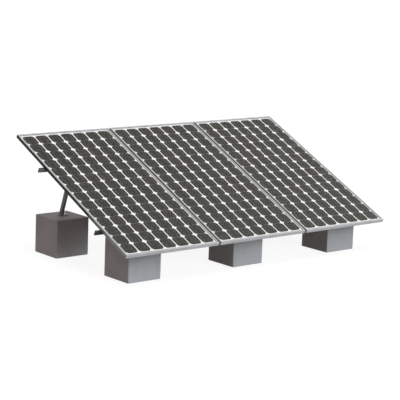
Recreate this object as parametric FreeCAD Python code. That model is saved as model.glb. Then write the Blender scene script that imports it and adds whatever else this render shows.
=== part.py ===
import FreeCAD, Part
import math
import os

# A ground rack for solar panels. Three framed panels lie side by side on two
# channel rails, tilted towards the front. The front rail stands on three short
# folded feet and the rear rail on three channel legs, and each foot and leg is
# screwed to a concrete block of its own. Millimetres. X runs along the row of
# panels, Y towards the high side and Z up. The origin is on the ground, below
# the middle of the rack.

V = FreeCAD.Vector
X_AXIS = V(1, 0, 0)
Y_AXIS = V(0, 1, 0)
Z_AXIS = V(0, 0, 1)
ORIGIN = V(0, 0, 0)

# Row of panels
panel_names = ["left", "middle", "right"]
panel_gap = 19.0
tilt = 25.0
front_edge_drop = 42.0

# Frame bar, an extruded section with a groove for the glass
frame_height = 30.0
lip_width = 18.0
lip_thickness = 2.0
frame_wall = 1.8
seat_width = 11.0
seat_thickness = 1.6
chamber_flange_gap = 7.6
flange_width = 32.0
flange_thickness = 1.8
corner_key_length = 40.0
corner_key_clearance = 0.2

# Glazing, from the glass down, and the seal around its edge
glass_thickness = 4.0
cell_thickness = 0.3
backsheet_thickness = 0.7
seal_thickness = 1.0
seal_side = 1.5
seal_clearance = 0.3

# Cells, and the white margins between them and the panel's outside
cell_size = 125.0
cell_corner_cut = 23.0
cell_columns = 7
cell_rows = 14
column_gap = 11.4
row_gap = 0.9
side_margin = 27.3
end_margin = 33.65

# Junction box under each panel
box_width = 118.0
box_length = 96.0
box_depth = 20.0
box_wall = 2.5
box_corner_cut = 8.0
box_edge_distance = 90.0
lid_thickness = 3.0
outlet_flats = 14.0
outlet_length = 12.0
outlet_bore = 6.5
outlet_spacing = 70.0

# Rails, channels with turned-in lips, their webs towards the low side
rail_height = 40.0
rail_depth = 20.0
rail_sheet = 2.5
rail_corner = 3.5
rail_lip = 9.0
rail_overhang = 48.0
front_rail_distance = 388.0
rear_rail_inset = 502.0

# Plugs in the ends of the rails
plug_length = 14.0
plug_clearance = 0.2

# Concrete blocks
block_side = 345.0
block_chamfer = 5.0
block_row_inset = 354.0

# Legs, a lipped channel welded on a foot plate
leg_run = 171.0
leg_width = 40.0
leg_depth = 25.0
leg_sheet = 2.5
leg_corner = 3.5
leg_lip = 9.0
leg_rail_gap = 10.0
leg_side_shift = 15.0
leg_end_margin = 14.0
foot_plate_width = 50.0
foot_plate_margin = 3.0
foot_plate_length = 78.0
foot_plate_thickness = 6.0
leg_anchor_distance = 28.0

# Angle cleat between the rear rail and a leg
cleat_sheet = 5.0
cleat_clearance = 1.0
cleat_rail_leaf = 50.0
cleat_leg_margin = 25.0
cleat_bend = 2.0

# Folded foot under the front rail
foot_sheet = 5.0
foot_width = 60.0
foot_anchor_distance = 31.5
foot_leaf_margin = 26.0
foot_top_gap = 3.0
foot_bend = 3.0

# Anchor screws
anchor_size = 10.0
anchor_length = 80.0
anchor_flats = 16.0
anchor_head = 6.4
anchor_hole_spare = 6.0
anchor_hole_clearance = 0.6
anchor_thread_clearance = 0.1

# Worked-out sizes
slope = math.radians(tilt)
panel_width = cell_columns * cell_size + (cell_columns - 1) * column_gap + 2 * side_margin
panel_length = cell_rows * cell_size + (cell_rows - 1) * row_gap + 2 * end_margin
row_width = len(panel_names) * panel_width + (len(panel_names) - 1) * panel_gap
row_depth = panel_length * math.cos(slope) + frame_height * math.sin(slope)
front_edge_y = -row_depth / 2
front_edge_height = block_side - front_edge_drop
groove_height = glass_thickness + cell_thickness + backsheet_thickness + 2 * seal_thickness
groove_floor = lip_thickness + groove_height
glass_top = lip_thickness + seal_thickness
cells_top = glass_top + glass_thickness
backsheet_top = cells_top + cell_thickness
backsheet_bottom = backsheet_top + backsheet_thickness
glass_inset = frame_wall + seal_clearance + seal_side
chamber_top = groove_floor + seat_thickness
chamber_bottom = frame_height - flange_thickness - chamber_flange_gap - seat_thickness
chamber_height = chamber_bottom - chamber_top
rail_top = -frame_height
rail_middle = rail_top - rail_height / 2
rail_reach = row_width / 2 + rail_overhang
rear_rail_distance = panel_length - rear_rail_inset
leg_head_distance = rear_rail_distance + rail_depth + leg_rail_gap + leg_width / 2
cleat_height = rail_height - 2 * (rail_lip + cleat_clearance)
block_spacing = (row_width - 2 * block_row_inset) / (len(panel_names) - 1)
block_columns = [(index - (len(panel_names) - 1) / 2) * block_spacing for index in range(len(panel_names))]


def rounded_face(corners, radii):
    """A flat face with the given corners, each rounded by its own radius."""
    starts = []
    ends = []
    middles = []
    count = len(corners)
    for index in range(count):
        corner = corners[index]
        radius = radii[index]
        before = (corners[index - 1] - corner).normalize()
        after = (corners[(index + 1) % count] - corner).normalize()
        if radius == 0:
            starts.append(corner)
            ends.append(corner)
            middles.append(None)
            continue
        half_angle = before.getAngle(after) / 2
        run = radius / math.tan(half_angle)
        to_centre = (before + after).normalize()
        starts.append(corner + before * run)
        ends.append(corner + after * run)
        middles.append(corner + to_centre * (radius / math.sin(half_angle) - radius))
    edges = []
    for index in range(count):
        if middles[index] is not None:
            edges.append(Part.Arc(starts[index], middles[index], ends[index]).toShape())
        following = (index + 1) % count
        edges.append(Part.makeLine(ends[index], starts[following]))
    return Part.Face(Part.Wire(edges))


def sharp_face(corners):
    """A flat face with sharp corners."""
    return Part.Face(Part.makePolygon(corners + corners[:1]))


def block_between(low, high):
    """A box from its low corner to its high corner."""
    size = high - low
    return Part.makeBox(size.x, size.y, size.z, low)


def on_slope(shape):
    """Moves a shape from the row's own frame (X, up the slope, out of it) to the rack's frame."""
    shape.rotate(ORIGIN, X_AXIS, tilt)
    shape.translate(V(0, front_edge_y, front_edge_height))
    return shape


def slope_point(x, up_slope, out):
    """A point of the row's own frame, in the rack's frame."""
    y = up_slope * math.cos(slope) - out * math.sin(slope)
    z = up_slope * math.sin(slope) + out * math.cos(slope)
    return V(x, front_edge_y + y, front_edge_height + z)


def slope_direction(up_slope, out):
    """A direction of the row's own frame, in the rack's frame."""
    return slope_point(0, up_slope, out) - slope_point(0, 0, 0)


def aimed(shape, point, direction):
    """A copy of a shape made along +Z at the origin, turned along a direction and moved to a point."""
    copy = shape.copy()
    copy.Placement = FreeCAD.Placement(point, FreeCAD.Rotation(Z_AXIS, direction))
    return copy


def hexagon(flats):
    """A flat hexagon, as wide across its flats as given."""
    radius = flats / math.sqrt(3)
    angles = [math.radians(60 * index) for index in range(6)]
    return sharp_face([V(radius * math.cos(angle), radius * math.sin(angle), 0) for angle in angles])


def hex_bolt(size, length, flats, head):
    """A hexagon bolt with its head above z = 0 and its shank below."""
    shank = Part.makeCylinder(size / 2, length, V(0, 0, -length))
    return hexagon(flats).extrude(V(0, 0, head)).fuse(shank)


def anchor_clearance_hole(thickness, point):
    """The cutter for an anchor screw's clearance hole, through a plate that lies on a point."""
    radius = anchor_size / 2 + anchor_hole_clearance
    return Part.makeCylinder(radius, 3 * thickness, point - Z_AXIS * thickness)


def channel_face(height, depth, sheet, corner, lip):
    """The section of a lipped channel in XY: its web on Y at x = 0, open towards +X."""
    low = -height / 2
    high = height / 2
    inside = depth - sheet
    corners = [
        V(0, low, 0),
        V(depth, low, 0),
        V(depth, low + lip, 0),
        V(inside, low + lip, 0),
        V(inside, low + sheet, 0),
        V(sheet, low + sheet, 0),
        V(sheet, high - sheet, 0),
        V(inside, high - sheet, 0),
        V(inside, high - lip, 0),
        V(depth, high - lip, 0),
        V(depth, high, 0),
        V(0, high, 0),
    ]
    return rounded_face(corners, [corner, corner] + [0] * 8 + [corner, corner])


def frame_bar(length):
    """A frame bar along +Y with mitred ends: its outside at x = 0, its top at z = 0."""
    section = [
        V(0, 0, 0),
        V(lip_width, 0, 0),
        V(lip_width, 0, -lip_thickness),
        V(frame_wall, 0, -lip_thickness),
        V(frame_wall, 0, -groove_floor),
        V(seat_width, 0, -groove_floor),
        V(seat_width, 0, -chamber_bottom - seat_thickness),
        V(frame_wall, 0, -chamber_bottom - seat_thickness),
        V(frame_wall, 0, -frame_height + flange_thickness),
        V(flange_width, 0, -frame_height + flange_thickness),
        V(flange_width, 0, -frame_height),
        V(0, 0, -frame_height),
    ]
    bar = sharp_face(section).extrude(V(0, length, 0))
    chamber = block_between(
        V(frame_wall, 0, -chamber_bottom),
        V(seat_width - seat_thickness, length, -chamber_top),
    )
    mitre = sharp_face([
        V(0, 0, 0),
        V(flange_width, flange_width, 0),
        V(flange_width, length - flange_width, 0),
        V(0, length, 0),
    ])
    return bar.cut(chamber).common(mitre.extrude(V(0, 0, -frame_height)))


def panel_frame():
    """The four bars of one panel's frame, by name, with the panel's left low corner at the origin."""
    left = frame_bar(panel_length)
    right = left.mirror(V(panel_width / 2, 0, 0), X_AXIS)
    bottom = frame_bar(panel_width)
    bottom.rotate(ORIGIN, Z_AXIS, 90)
    bottom.translate(V(panel_width, 0, 0))
    top = bottom.mirror(V(0, panel_length / 2, 0), Y_AXIS)
    return {"left": left, "right": right, "bottom": bottom, "top": top}


def corner_keys():
    """The four angle keys that join one panel's frame bars, inside their chambers."""
    inner = frame_wall + corner_key_clearance
    outer = seat_width - seat_thickness - corner_key_clearance
    key = sharp_face([
        V(inner, inner, -chamber_top - corner_key_clearance),
        V(corner_key_length, inner, -chamber_top - corner_key_clearance),
        V(corner_key_length, outer, -chamber_top - corner_key_clearance),
        V(outer, outer, -chamber_top - corner_key_clearance),
        V(outer, corner_key_length, -chamber_top - corner_key_clearance),
        V(inner, corner_key_length, -chamber_top - corner_key_clearance),
    ]).extrude(V(0, 0, 2 * corner_key_clearance - chamber_height))
    across = key.mirror(V(panel_width / 2, 0, 0), X_AXIS)
    middle = V(0, panel_length / 2, 0)
    return [key, across, key.mirror(middle, Y_AXIS), across.mirror(middle, Y_AXIS)]


def sheet_layer(inset, top, thickness):
    """A rectangular layer of the panel, set in from the frame's outside and below its top."""
    low = V(inset, inset, -top - thickness)
    high = V(panel_width - inset, panel_length - inset, -top)
    return block_between(low, high)


def edge_seal():
    """The U-shaped rubber seal around the edge of the glass."""
    body = sheet_layer(frame_wall + seal_clearance, lip_thickness, groove_height)
    glazing = sheet_layer(glass_inset, glass_top, backsheet_bottom - glass_top)
    upper_window = sheet_layer(lip_width, lip_thickness, seal_thickness)
    lower_window = sheet_layer(seat_width, backsheet_bottom, seal_thickness)
    return body.cut(glazing).cut(upper_window).cut(lower_window)


def cell_wafers():
    """The cells of one panel, squares with cut corners in columns and rows."""
    half = cell_size / 2
    flat = half - cell_corner_cut
    outline = [
        V(half, flat, 0),
        V(flat, half, 0),
        V(-flat, half, 0),
        V(-half, flat, 0),
        V(-half, -flat, 0),
        V(-flat, -half, 0),
        V(flat, -half, 0),
        V(half, -flat, 0),
    ]
    wafer = sharp_face(outline).extrude(V(0, 0, -cell_thickness))
    wafers = []
    for column in range(cell_columns):
        x = panel_width / 2 + (column - (cell_columns - 1) / 2) * (cell_size + column_gap)
        for row in range(cell_rows):
            y = panel_length / 2 + (row - (cell_rows - 1) / 2) * (cell_size + row_gap)
            copy = wafer.copy()
            copy.translate(V(x, y, -cells_top))
            wafers.append(copy)
    return wafers


def box_outline(inset, level):
    """The outline of the junction box with its corners cut, set in from its wall, as a face."""
    middle_x = panel_width / 2
    middle_y = panel_length - box_edge_distance - box_length / 2
    half_x = box_width / 2 - inset
    half_y = box_length / 2 - inset
    flat_x = half_x - box_corner_cut
    flat_y = half_y - box_corner_cut
    corners = []
    for x, y in ((half_x, -flat_y), (half_x, flat_y), (flat_x, half_y), (-flat_x, half_y)):
        corners.append(V(middle_x + x, middle_y + y, level))
    for corner in corners[:4]:
        corners.append(V(2 * middle_x - corner.x, 2 * middle_y - corner.y, level))
    return sharp_face(corners)


def cable_outlet(x):
    """One hexagonal cable outlet at the low side of the junction box, and its bore."""
    low_side = panel_length - box_edge_distance - box_length
    start = V(x, low_side, -backsheet_bottom - box_depth / 2)
    body = aimed(hexagon(outlet_flats).extrude(V(0, 0, outlet_length)), start, -Y_AXIS)
    bore = Part.makeCylinder(outlet_bore / 2, outlet_length + box_wall, start + Y_AXIS * box_wall, -Y_AXIS)
    return body, bore


def junction_box():
    """The box bonded under a panel, open below, with two cable outlets at its low side."""
    top = -backsheet_bottom
    shell = box_outline(0, top).extrude(V(0, 0, -box_depth))
    inside = box_outline(box_wall, top - box_wall).extrude(V(0, 0, box_wall - box_depth))
    body = shell.cut(inside)
    for side in (-1, 1):
        outlet, bore = cable_outlet(panel_width / 2 + side * outlet_spacing / 2)
        body = body.fuse(outlet).cut(bore)
    return body


def junction_box_lid():
    """The flat lid that closes the junction box from below."""
    return box_outline(0, -backsheet_bottom - box_depth).extrude(V(0, 0, -lid_thickness))


def rail(distance):
    """A channel rail under the panels, so far up the slope."""
    face = channel_face(rail_height, rail_depth, rail_sheet, rail_corner, rail_lip)
    face.rotate(ORIGIN, X_AXIS, 90)
    face.rotate(ORIGIN, Z_AXIS, 90)
    body = face.extrude(V(2 * rail_reach, 0, 0))
    body.translate(V(-rail_reach, distance, rail_middle))
    return on_slope(body)


def rail_plugs(distance):
    """The plastic plugs that close a rail's ends and lie flush with them, the left one first."""
    inset = rail_sheet + plug_clearance
    low = V(-rail_reach, distance + inset, rail_middle - rail_height / 2 + inset)
    high = V(-rail_reach + plug_length, distance + rail_depth - inset, rail_middle + rail_height / 2 - inset)
    left = block_between(low, high)
    right = left.mirror(ORIGIN, X_AXIS)
    return [on_slope(left), on_slope(right)]


def panel_corners():
    """The X of each panel's left side, from left to right."""
    return [index * (panel_width + panel_gap) - row_width / 2 for index in range(len(panel_names))]


def on_level(point, direction, level):
    """The point's place on a level, moved there along a direction."""
    return point + direction * ((level - point.z) / direction.z)


def foot_fold():
    """Where the back of the front feet's upright leaf meets the top of the blocks, at x = 0."""
    return on_level(slope_point(0, front_rail_distance, 0), slope_direction(0, 1), block_side)


def front_block_y():
    """The Y of the middle of the front blocks, where the feet are anchored."""
    return foot_fold().y - foot_anchor_distance


def front_foot(x):
    """A folded plate: one leaf on the block, one up the front of the rail's web."""
    tab = slope_direction(0, 1)
    back = slope_point(0, front_rail_distance, 0)
    front = slope_point(0, front_rail_distance - foot_sheet, 0)
    leaf_end = front_block_y() - foot_leaf_margin
    corners = [
        V(0, leaf_end, block_side),
        foot_fold(),
        back + tab * (rail_top - foot_top_gap),
        front + tab * (rail_top - foot_top_gap),
        on_level(front, tab, block_side + foot_sheet),
        V(0, leaf_end, block_side + foot_sheet),
    ]
    face = rounded_face(corners, [0, foot_bend + foot_sheet, 0, 0, foot_bend, 0])
    body = face.extrude(V(foot_width, 0, 0))
    body.translate(V(x - foot_width / 2, 0, 0))
    return body.cut(anchor_clearance_hole(foot_sheet, front_anchor_point(x)))


def front_anchor_point(x):
    """Where the anchor of a front foot meets the top of its block."""
    return V(x, front_block_y(), block_side)


def leg_web(x):
    """The X of the outside of a leg's web."""
    return x - leg_side_shift - leg_depth / 2


def leg_head(x):
    """The middle of a leg's web level with the rear rail, where its cleat is bolted on."""
    return slope_point(leg_web(x), leg_head_distance, rail_middle)


def leg_base(x):
    """The middle of a leg's web where it meets the top of the block."""
    return V(leg_web(x), leg_head(x).y + leg_run, block_side)


def leg(x):
    """A leaning channel welded on a foot plate."""
    base = leg_base(x)
    along = leg_head(x) - base
    length = along.Length + leg_end_margin
    along.normalize()
    lean = math.degrees(math.atan2(-along.y, along.z))
    channel = channel_face(leg_width, leg_depth, leg_sheet, leg_corner, leg_lip)
    spare = leg_width
    body = channel.extrude(V(0, 0, length + spare))
    body.translate(V(0, 0, -spare))
    body.rotate(ORIGIN, X_AXIS, lean)
    body.translate(base)
    plate_low = V(leg_web(x) - foot_plate_margin, base.y - foot_plate_width / 2, block_side)
    plate = Part.makeBox(foot_plate_length, foot_plate_width, foot_plate_thickness, plate_low)
    below = Part.makeBox(4 * leg_width, 4 * leg_width, 4 * leg_width)
    below.translate(base - V(2 * leg_width, 2 * leg_width, 4 * leg_width - foot_plate_thickness))
    body = body.cut(below).fuse(plate)
    return body.cut(anchor_clearance_hole(foot_plate_thickness, leg_anchor_point(x)))


def leg_anchor_point(x):
    """Where the anchor of a leg meets the top of its block."""
    return leg_base(x) + X_AXIS * (leg_depth + leg_anchor_distance)


def leg_cleat(x):
    """A folded angle: one leaf on the inside of the rear rail's web, one on the leg's web."""
    web = leg_web(x)
    inside = rear_rail_distance + rail_sheet
    end = leg_head_distance + cleat_leg_margin
    level = rail_middle - cleat_height / 2
    corners = [
        V(web, inside, level),
        V(web, end, level),
        V(web - cleat_sheet, end, level),
        V(web - cleat_sheet, inside + cleat_sheet, level),
        V(web - cleat_rail_leaf, inside + cleat_sheet, level),
        V(web - cleat_rail_leaf, inside, level),
    ]
    face = rounded_face(corners, [cleat_bend + cleat_sheet, 0, 0, cleat_bend, 0, 0])
    return on_slope(face.extrude(V(0, 0, cleat_height)))


def concrete_block(x, y, anchor_point):
    """A cast block with chamfered top and sides, drilled for its anchor."""
    half = block_side / 2
    body = Part.makeBox(block_side, block_side, block_side, V(x - half, y - half, 0))
    edges = [edge for edge in body.Edges if edge.BoundBox.ZMax > half]
    body = body.makeChamfer(block_chamfer, edges)
    depth = anchor_length + anchor_hole_spare
    drilled = Part.makeCylinder(anchor_size / 2 + anchor_thread_clearance, depth, anchor_point, -Z_AXIS)
    return body.cut(drilled)


def anchor_screws():
    """The hexagon-head screws that hold the feet and legs on their blocks."""
    screw = hex_bolt(anchor_size, anchor_length, anchor_flats, anchor_head)
    screws = []
    for x in block_columns:
        screws.append(aimed(screw, front_anchor_point(x) + Z_AXIS * foot_sheet, Z_AXIS))
        screws.append(aimed(screw, leg_anchor_point(x) + Z_AXIS * foot_plate_thickness, Z_AXIS))
    return screws


def panel_parts(left):
    """The sub-parts of the panel whose left side is at x = left, by name."""
    frame = panel_frame()
    parts = {"frame_" + side: [bar] for side, bar in frame.items()}
    parts["edge_seal"] = [edge_seal()]
    parts["glass"] = [sheet_layer(glass_inset, glass_top, glass_thickness)]
    parts["cells"] = cell_wafers()
    parts["backsheet"] = [sheet_layer(glass_inset, backsheet_top, backsheet_thickness)]
    parts["junction_box"] = [junction_box()]
    parts["junction_box_lid"] = [junction_box_lid()]
    parts["frame_corner_keys"] = corner_keys()
    for solids in parts.values():
        for solid in solids:
            solid.translate(V(left, 0, 0))
            on_slope(solid)
    return parts


def rack_parts():
    """Every sub-part of the rack, a list of solids for each name."""
    parts = {}
    corner_key_group = []
    for name, left in zip(panel_names, panel_corners()):
        for part_name, solids in panel_parts(left).items():
            if part_name == "frame_corner_keys":
                corner_key_group.extend(solids)
            else:
                parts[name + "_panel_" + part_name] = solids
    parts["frame_corner_keys"] = corner_key_group
    for row, distance in (("front", front_rail_distance), ("rear", rear_rail_distance)):
        parts[row + "_rail"] = [rail(distance)]
        for side, plug in zip(("left", "right"), rail_plugs(distance)):
            parts[row + "_rail_" + side + "_plug"] = [plug]
    for name, x in zip(panel_names, block_columns):
        parts["front_" + name + "_block"] = [concrete_block(x, front_block_y(), front_anchor_point(x))]
        parts["rear_" + name + "_block"] = [concrete_block(x, leg_base(x).y, leg_anchor_point(x))]
        parts["front_" + name + "_foot"] = [front_foot(x)]
        parts["rear_" + name + "_leg"] = [leg(x)]
        parts["rear_" + name + "_leg_cleat"] = [leg_cleat(x)]
    parts["anchor_screws"] = anchor_screws()
    return parts


def write_parts(parts):
    """Writes each sub-part to its own file."""
    os.makedirs("parts", exist_ok=True)
    for name, solids in parts.items():
        shape = solids[0] if len(solids) == 1 else Part.makeCompound(solids)
        shape.exportStep("parts/" + name + ".step")


write_parts(rack_parts())
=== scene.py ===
import math
import random
from collections import namedtuple

import bmesh
import bpy
from mathutils import Matrix, Vector, noise


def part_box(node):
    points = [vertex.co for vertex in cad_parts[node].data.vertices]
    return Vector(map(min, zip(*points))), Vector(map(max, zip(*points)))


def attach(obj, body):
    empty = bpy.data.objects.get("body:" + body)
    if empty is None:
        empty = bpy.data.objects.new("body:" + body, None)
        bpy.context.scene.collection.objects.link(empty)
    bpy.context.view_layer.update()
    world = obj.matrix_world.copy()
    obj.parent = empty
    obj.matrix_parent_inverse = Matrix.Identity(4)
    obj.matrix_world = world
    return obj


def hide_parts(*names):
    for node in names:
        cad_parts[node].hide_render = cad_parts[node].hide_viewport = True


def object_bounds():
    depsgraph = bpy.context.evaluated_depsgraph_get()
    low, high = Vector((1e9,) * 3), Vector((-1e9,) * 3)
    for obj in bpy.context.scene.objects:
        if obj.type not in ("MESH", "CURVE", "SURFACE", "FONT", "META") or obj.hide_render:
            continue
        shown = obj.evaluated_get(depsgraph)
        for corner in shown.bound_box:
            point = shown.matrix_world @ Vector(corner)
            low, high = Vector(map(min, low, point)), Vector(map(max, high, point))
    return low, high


# Looks for a ground rack with three solar panels. Metres, in the same frame as
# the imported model: X along the row, Y towards the high side, Z up. The row has
# its own frame too: X, the distance up the slope from the front edge, and the
# distance out of the top of the panels.

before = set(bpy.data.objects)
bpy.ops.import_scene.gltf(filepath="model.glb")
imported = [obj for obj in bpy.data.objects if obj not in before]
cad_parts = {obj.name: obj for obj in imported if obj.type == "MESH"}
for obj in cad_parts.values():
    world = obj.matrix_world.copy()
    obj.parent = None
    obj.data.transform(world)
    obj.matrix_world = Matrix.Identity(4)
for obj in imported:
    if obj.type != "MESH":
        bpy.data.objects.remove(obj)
box_low, box_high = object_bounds()

MM = 0.001
CORNER_STEPS = 3

# Row of panels
PANEL_NAMES = ["left", "middle", "right"]
PANEL_WIDTH = 998.0 * MM
PANEL_LENGTH = 1829.0 * MM
PANEL_GAP = 19.0 * MM
ROW_WIDTH = 3 * PANEL_WIDTH + 2 * PANEL_GAP
TILT = math.radians(25.0)
FRONT_EDGE_HEIGHT = 303.0 * MM

# From the row's own frame to the rack's frame
SLOPE = Matrix.Translation((0.0, box_low.y, FRONT_EDGE_HEIGHT)) @ Matrix.Rotation(TILT, 4, "X")

# Frame bar
FRAME_HEIGHT = 30.0 * MM
LIP_WIDTH = 18.0 * MM
LIP_THICKNESS = 2.0 * MM
FRAME_WALL = 1.8 * MM
GROOVE_FLOOR = 9.0 * MM
SEAT_WIDTH = 11.0 * MM
CHAMBER_BOTTOM = 20.6 * MM
FLANGE_WIDTH = 32.0 * MM
FLANGE_THICKNESS = 1.8 * MM
FRAME_EDGE_RADIUS = 0.5 * MM
MITRE_LINE = 0.12 * MM

# Glazing
GLASS_TOP = 3.0 * MM
GLASS_BOTTOM = 6.9 * MM
GLASS_INSET = 3.6 * MM
CELL_TOP = 7.0 * MM
CELL_BOTTOM = 7.3 * MM
CELL_SIZE = 125.0 * MM
WAFER_RADIUS = 74.0 * MM
WAFER_CORNER_STEPS = 6
CELL_COLUMNS = 7
CELL_ROWS = 14
COLUMN_PITCH = 136.4 * MM
ROW_PITCH = 125.9 * MM
RIBBON_WIDTH = 1.6 * MM
RIBBON_THICKNESS = 0.08 * MM
RIBBON_OFFSET = 31.0 * MM
FINGER_PITCH = 2.5 * MM
TONE_SEED = 7

# Rails, legs, cleats and feet
RAIL_MIDDLE = 50.0 * MM
RAIL_SHEET = 2.5 * MM
RAIL_HEIGHT = 40.0 * MM
RAIL_DEPTH = 20.0 * MM
RAIL_OVERHANG = 48.0 * MM
FRONT_RAIL = 388.0 * MM
REAR_RAIL = 1327.0 * MM
RAIL_BOLT_LINE = 10.0 * MM
PANEL_BOLT_INSET = 20.0 * MM
CLEAT_SHEET = 5.0 * MM
FOOT_SHEET = 5.0 * MM
LEG_HEAD = 1377.0 * MM
LEG_WEB_SHIFT = 27.5 * MM
LEG_WIDTH = 40.0 * MM
LEG_DEPTH = 25.0 * MM
LEG_CORNER = 3.5 * MM
LEG_LIP = 9.0 * MM
FOOT_PLATE = 6.0 * MM
LEG_ANCHOR_DISTANCE = 28.0 * MM
CLEAT_BOLT_SHIFT = 28.0 * MM
PLUG_LENGTH = 14.0 * MM
PLUG_CLEARANCE = 0.2 * MM
PLUG_CORNER = 1.2 * MM
PLUG_ROUND = 0.8 * MM
PLUG_ROUND_MIDDLE = 0.24 * MM
PLUG_DISH_RIM = 2.2 * MM
PLUG_DISH_EDGE = 2.8 * MM
PLUG_DISH_DEPTH = 1.0 * MM

# Junction boxes
BACKSHEET_BOTTOM = 8.0 * MM
BOX_WIDTH = 118.0 * MM
BOX_LENGTH = 96.0 * MM
BOX_DEPTH = 20.0 * MM
BOX_WALL = 2.5 * MM
BOX_CORNER_CUT = 8.0 * MM
BOX_CORNER_ROUND = 2.5 * MM
BOX_EDGE_DISTANCE = 90.0 * MM
BOX_MIDDLE = PANEL_LENGTH - BOX_EDGE_DISTANCE - BOX_LENGTH / 2
BOX_RIM = -BACKSHEET_BOTTOM - BOX_DEPTH
BOX_BEVEL = 0.9 * MM
BOX_LID = 3.0 * MM
SEAM_WIDTH = 0.7 * MM
SEAM_DEPTH = 0.3 * MM
LID_SEAM = 0.8 * MM
LID_ROUND = 0.3 * MM
LID_FACE_INSET = 1.0 * MM
LID_BORDER = 7.0 * MM
LID_RECESS = 0.8 * MM
LID_FIELD_SLOPE = 0.5 * MM
LID_RIBS = 6
LID_RIB_WIDTH = 2.0 * MM
LID_RIB_MARGIN = 6.0 * MM
LID_RIB_ROOT = 0.2 * MM
OUTLET_FLATS = 14.0 * MM
OUTLET_LENGTH = 12.0 * MM
OUTLET_BASE = 4.0 * MM
OUTLET_GROOVE = 0.8 * MM
OUTLET_GROOVE_SHARE = 0.42
OUTLET_COLLAR = 0.7 * MM
OUTLET_COLLAR_SHARE = 0.47
OUTLET_IN_WALL = 0.3 * MM
OUTLET_BORE = 6.5 * MM
OUTLET_SPACING = 70.0 * MM

# Concrete blocks
BLOCK_CHAMFER = 5.0 * MM
NEAR_EDGE_LINES = [step * MM for step in (0.0, 1.2, 2.5, 3.8, 5.0, 7.5, 11.0, 17.0)]
FACE_LINES = 26
EDGE_ROUNDNESS = 1.25
EDGE_TOLERANCE = 1e-7
POINT_KEYS_PER_METRE = 1e6
WEAR_DEPTH = 2.6 * MM
CHIPS_PER_METRE = 55.0
CHIP_RARITY = 0.22
CHIP_STRENGTH = 2.4
CRUMBS_PER_METRE = 210.0
CRUMB_STRENGTH = 0.25
FRONT_WEAR_SEED = 3.0
REAR_WEAR_SEED = 8.0
WEAR_SEED_STEP = 11.0

# Bolts, nuts and anchor screws
BoltSize = namedtuple("BoltSize", "thread pitch flats head nut length")
PANEL_BOLT = BoltSize(6 * MM, 1.0 * MM, 10 * MM, 4 * MM, 5 * MM, 12 * MM)
STAND_BOLT = BoltSize(8 * MM, 1.25 * MM, 13 * MM, 5.3 * MM, 6.5 * MM, 20 * MM)
ROUND_STEPS = 36
SHANK_STEPS = 16
CROWN_SHARE = 0.94
CROWN_ANGLE = math.radians(30.0)
WASHER_FACE = 0.4 * MM
WASHER_FACE_SHARE = 0.95
WASHER_FOOT_SHARE = 0.93
HEX_FOOT = 1.05 * WASHER_FACE
HEX_FOOT_SHARE = 0.995
NUT_FLANGE_SHARE = 0.66
NUT_FLANGE_ROUND = 0.97
NUT_FLANGE_RIM = 0.3 * MM
NUT_FLANGE_SHOULDER = 0.9 * MM
NUT_FLANGE_TOP = 1.9 * MM
THREAD_RINGS_PER_TURN = 6
THREAD_DEPTH_SHARE = 0.54
SHANK_SHARE = 0.92
SHANK_IN_HEAD = 0.2 * MM
SHANK_PAST_GRIP = 0.5 * MM
THREAD_PAST_GRIP = 0.4 * MM
TURN_SEED = 3
ANCHOR_FLATS = 16 * MM
ANCHOR_HEAD = 6.4 * MM
ANCHOR_RADIUS = 4.9 * MM
ANCHOR_DEPTH = 80.0 * MM

# Weld beads
WELD_STEP = 0.9 * MM
WELD_SIDES = 8
WELD_CORNER_STEPS = 6
BEAD_RADIUS = 1.9 * MM
BEAD_RIPPLE = 0.45 * MM
BEAD_UNEVENNESS = 0.25 * MM
BEAD_LUMPS_PER_METRE = 300.0
RIPPLE_TURN = 0.75
BEAD_END_SHARE = 0.4

# Camera, solved from the corners of the panels and blocks in the picture
CAMERA_PLACE = (-8.7407, -10.3226, 3.0551)
CAMERA_YAW = 0.69954
CAMERA_PITCH = 0.18789
CAMERA_ROLL = 0.03946
CAMERA_LENS = 134.72
CAMERA_SENSOR = 36.0
CAMERA_NEAR = 0.1
CAMERA_FAR = 400.0

# Floor and world
FLOOR_REACH = 90.0
FLOOR_GLOW = 1.1
FLOOR_GLOW_SHARE = 0.8
FILL_STRENGTH = 0.235

# Lamps: name, direction to the lamp, strength, spread in degrees, colour
LAMPS = [
    ("overhead", (-0.1, -0.3, 0.95), 0.4, 35, (1.0, 0.99, 0.975)),
    ("front", (0.15, -0.95, 0.25), 0.605, 40, (0.79, 0.925, 1.0)),
    ("left", (-0.75, -0.35, 0.56), 0.13, 40, (1.0, 0.905, 0.89)),
    ("rear", (0.4, 0.9, 0.12), 0.6, 60, (1.0, 0.98, 0.96)),
]

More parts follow.
